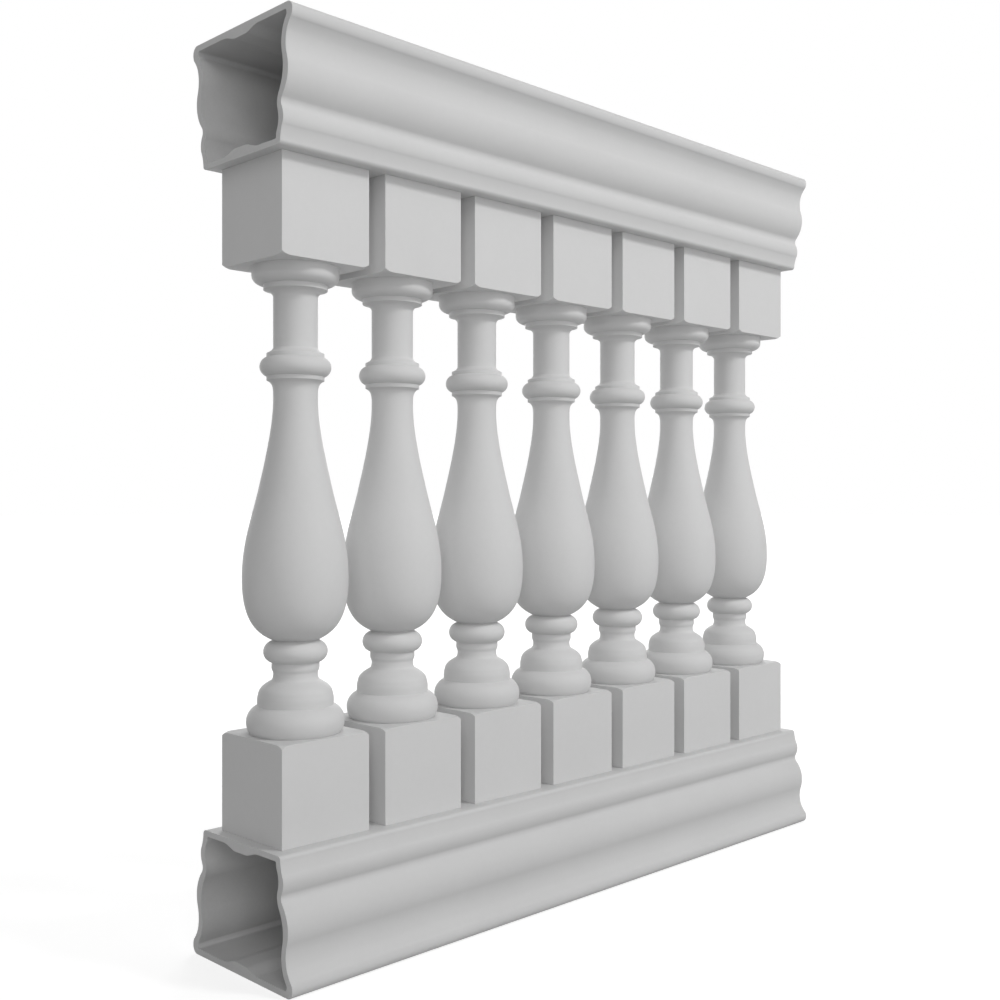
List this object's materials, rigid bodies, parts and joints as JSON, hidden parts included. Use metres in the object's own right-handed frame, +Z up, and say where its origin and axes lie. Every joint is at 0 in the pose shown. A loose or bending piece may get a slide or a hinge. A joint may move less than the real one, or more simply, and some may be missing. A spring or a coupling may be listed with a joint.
{
  "type": "fiberglass balustrade",
  "caption": "Moulded fiberglass balustrade section: hollow moulded top and bottom rails with a row of vase-shaped balusters on square blocks between them.",
  "frame": {"origin": "middle of the base, where the bottom rail stands on the floor", "axes": "+X along the rails, +Y through the depth towards the back, +Z up"},
  "size_m": [1.071, 0.21, 1.117],
  "materials": {
    "gelcoat": "matt light grey gel coat",
    "laminate": "raw glass fibre laminate"
  },
  "bodies": {
    "root": {"top_rail_front_shell": "gelcoat", "top_rail_back_shell": "gelcoat", "top_rail_upper_seam_strip": "laminate", "top_rail_lower_seam_strip": "laminate", "bottom_rail_front_shell": "gelcoat", "bottom_rail_back_shell": "gelcoat", "bottom_rail_upper_seam_strip": "laminate", "bottom_rail_lower_seam_strip": "laminate", "baluster_1": "gelcoat", "baluster_2": "gelcoat", "baluster_3": "gelcoat", "baluster_4": "gelcoat", "baluster_5": "gelcoat", "baluster_6": "gelcoat", "baluster_7": "gelcoat"}
  },
  "joints": []
}
